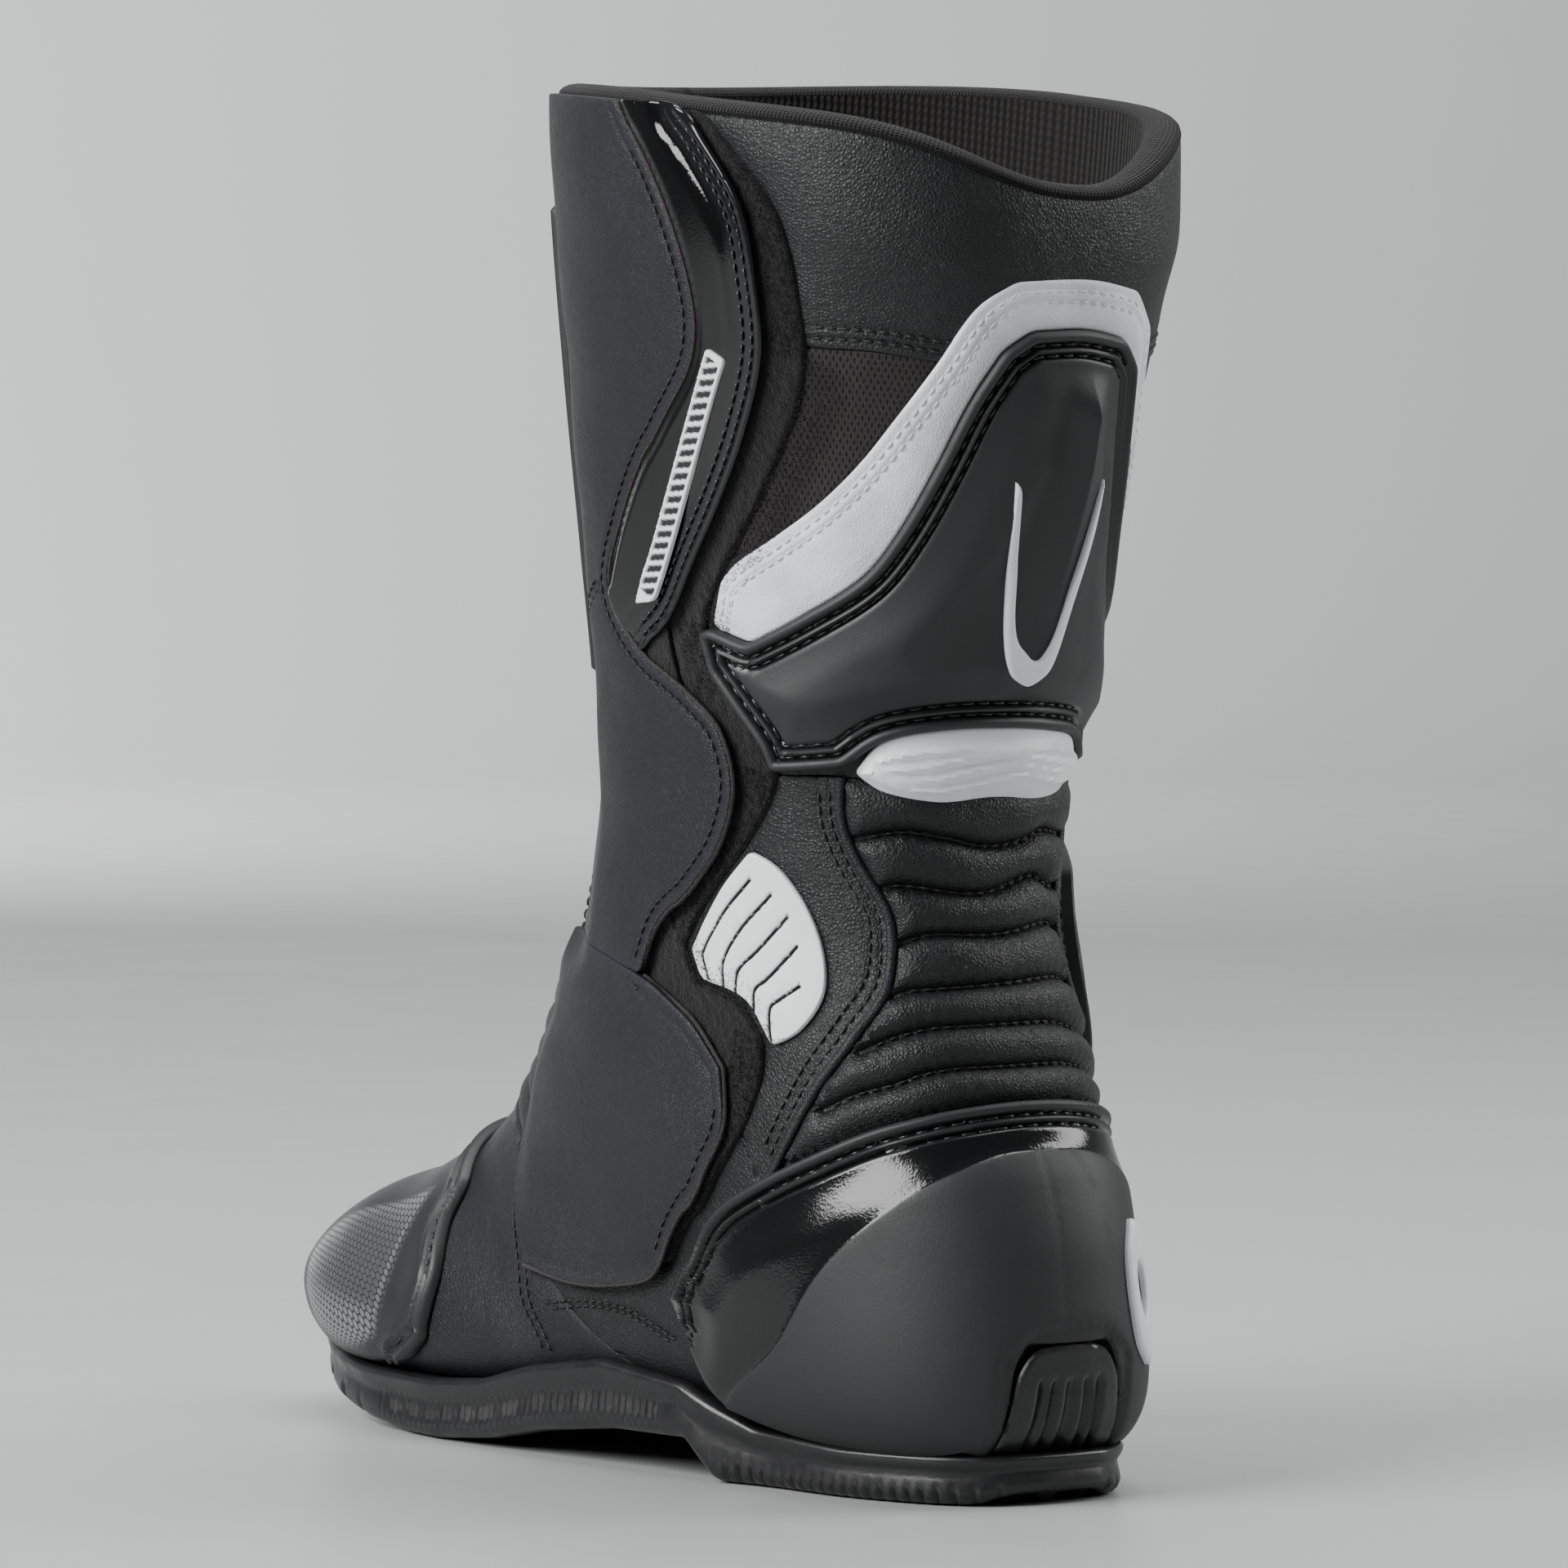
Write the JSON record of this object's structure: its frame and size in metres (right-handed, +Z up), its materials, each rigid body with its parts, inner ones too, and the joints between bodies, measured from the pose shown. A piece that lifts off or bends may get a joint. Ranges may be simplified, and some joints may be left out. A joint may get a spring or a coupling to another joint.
{
  "type": "motorcycle touring boot",
  "caption": "Tall leather riding boot for the right foot with a zip under a side flap, moulded calf guard, heel counter, toe cap and shin plate, and an ankle bellows.",
  "frame": {"origin": "on the ground, under the middle of the boot's bounding box", "axes": "+Z up the leg, +Y towards the toe, +X towards the outer side of the right foot"},
  "size_m": [0.1292, 0.2852, 0.324],
  "materials": {
    "sole_rubber": "black rubber, semi-gloss",
    "steel": "plain steel",
    "board": "pressed fibre board",
    "foam": "grey foam under fabric",
    "knit_lining": "black knitted lining",
    "smooth_leather": "blue-black coated leather, fine grain",
    "grain_leather": "black leather, pebbled grain",
    "white_leather": "white leather, fine grain",
    "loop_tape": "fuzzy loop tape",
    "mesh_fabric": "coarse woven mesh",
    "white_plastic": "white moulded polyurethane",
    "grey_plastic": "light grey moulded polyurethane",
    "matte_plastic": "black moulded polyurethane, satin",
    "gloss_plastic": "black moulded polyurethane, polished",
    "zip_metal": "blackened zip metal"
  },
  "bodies": {
    "boot": {"outsole": "sole_rubber", "steel_shank": "steel", "insole_board": "board", "footbed": "foam", "foot_lining": "knit_lining", "shaft_lining": "knit_lining", "collar_binding": "knit_lining", "heel_stiffener": "board", "toe_puff": "board", "ankle_pad_medial": "foam", "ankle_pad_lateral": "foam", "shin_foam": "foam", "calf_foam": "foam", "front_panel": "smooth_leather", "loop_panel": "loop_tape", "shaft_collar_panel": "grain_leather", "mesh_panel": "mesh_fabric", "rear_shaft_panel": "grain_leather", "lateral_shaft_panel": "grain_leather", "medial_ankle_panel": "grain_leather", "lateral_ankle_panel": "grain_leather", "achilles_accordion": "grain_leather", "medial_flex_panel": "white_plastic", "achilles_lobe": "white_leather", "lateral_ankle_brace": "matte_plastic", "vamp": "smooth_leather", "instep_accordion": "smooth_leather", "medial_quarter": "grain_leather", "lateral_quarter": "grain_leather", "calf_stripe": "white_leather", "calf_guard": "matte_plastic", "calf_guard_inlay": "white_plastic", "shin_plate": "matte_plastic", "shin_plate_face": "grey_plastic", "heel_counter": "gloss_plastic", "heel_emblem": "white_plastic", "toe_cap": "matte_plastic", "toe_slider": "grey_plastic", "toe_slider_screw_front": "steel", "toe_slider_screw_rear": "steel", "zip_tape_front": "knit_lining", "zip_tape_rear": "knit_lining", "zip_teeth": "zip_metal", "instep_flap": "smooth_leather"},
    "flap": {"closure_flap": "smooth_leather", "flap_edge_trim": "gloss_plastic", "flap_hook_panel": "loop_tape", "flap_badge": "white_plastic"},
    "zip_slider": {"zip_slider": "zip_metal"},
    "zip_pull": {"zip_pull": "zip_metal"}
  },
  "joints": [
    {"name": "flap_open", "type": "hinge", "parent": "boot", "child": "flap", "pos_m": [-0.04787, -0.00342, 0.32019], "axis": [0.075, 0.0477, -0.996], "range_deg": [0, 110]},
    {"name": "zip_slide", "type": "slide", "parent": "boot", "child": "zip_slider", "axis": [0.1152, 0.0553, -0.9918], "range_m": [0, 0.115]},
    {"name": "zip_pull_swing", "type": "hinge", "parent": "zip_slider", "child": "zip_pull", "pos_m": [-0.05717, -0.03548, 0.30433], "axis": [0.1769, 0.9813, 0.0753], "range_deg": [0, 3]}
  ]
}
